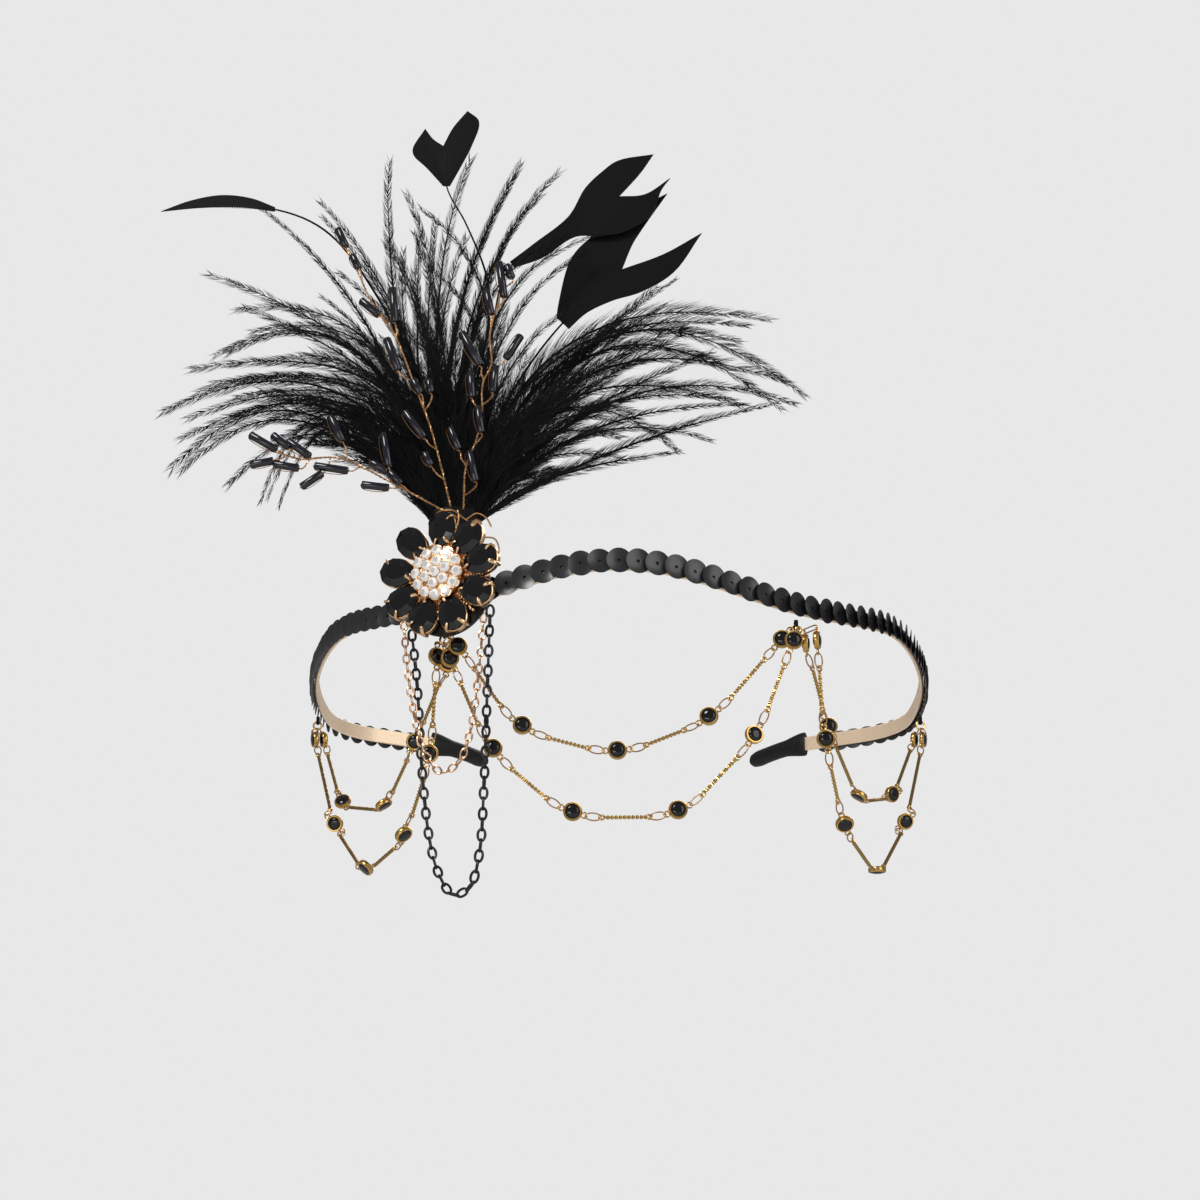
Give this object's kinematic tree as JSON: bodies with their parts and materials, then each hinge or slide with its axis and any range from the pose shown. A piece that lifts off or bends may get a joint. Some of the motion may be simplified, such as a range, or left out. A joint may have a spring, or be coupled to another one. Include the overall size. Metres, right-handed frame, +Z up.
{
  "type": "flapper feather headband",
  "caption": "Springy C-shaped headband with black sequins, a jewelled flower and black feather plume at one side, bead sprays, and swags of stone-set chain over the forehead and temples.",
  "frame": {"origin": "middle of the ring that goes round the head, at the height of the strip's sides", "axes": "+X to the right as seen from the front, +Y from the forehead towards the back of the head, +Z up along the plume"},
  "size_m": [0.1996, 0.1684, 0.2057],
  "materials": {
    "pale_gold": "polished",
    "yellow_gold": "polished",
    "rose_gold": "polished",
    "black_metal": "gloss",
    "black_sequin": "satin",
    "black_rubber": "matte",
    "black_leather": "satin",
    "black_stone": "gloss",
    "clear_stone": "gloss",
    "black_feather": "matte",
    "black_bugle": "gloss",
    "black_thread": "matte"
  },
  "bodies": {
    "root": {"band_strip": "pale_gold", "sequins": "black_sequin", "tip_left": "black_rubber", "tip_right": "black_rubber", "backing_disc": "black_leather", "flower_setting": "pale_gold", "petal_stone_1": "black_stone", "petal_stone_2": "black_stone", "petal_stone_3": "black_stone", "petal_stone_4": "black_stone", "petal_stone_5": "black_stone", "petal_stone_6": "black_stone", "petal_stone_7": "black_stone", "petal_stone_8": "black_stone", "petal_stone_9": "black_stone", "stone_cluster": "clear_stone", "plume": "black_feather", "cut_feather_top": "black_feather", "cut_feather_upper": "black_feather", "cut_feather_lower": "black_feather", "cut_feather_left": "black_feather", "spray_left": "black_bugle", "spray_middle": "black_bugle", "spray_right": "black_bugle", "jump_ring_left": "yellow_gold", "thread_left": "black_thread", "jump_ring_flower": "yellow_gold", "thread_flower": "black_thread", "jump_ring_right_front": "yellow_gold", "thread_right_front": "black_thread", "jump_ring_right": "yellow_gold", "thread_right": "black_thread", "strand_front_inner": "yellow_gold", "strand_front_outer": "yellow_gold", "strand_right_inner": "yellow_gold", "strand_right_outer": "yellow_gold", "strand_left_inner": "yellow_gold", "strand_left_outer": "yellow_gold", "chain_loop_black": "black_metal", "chain_loop_rose": "rose_gold"}
  },
  "joints": []
}
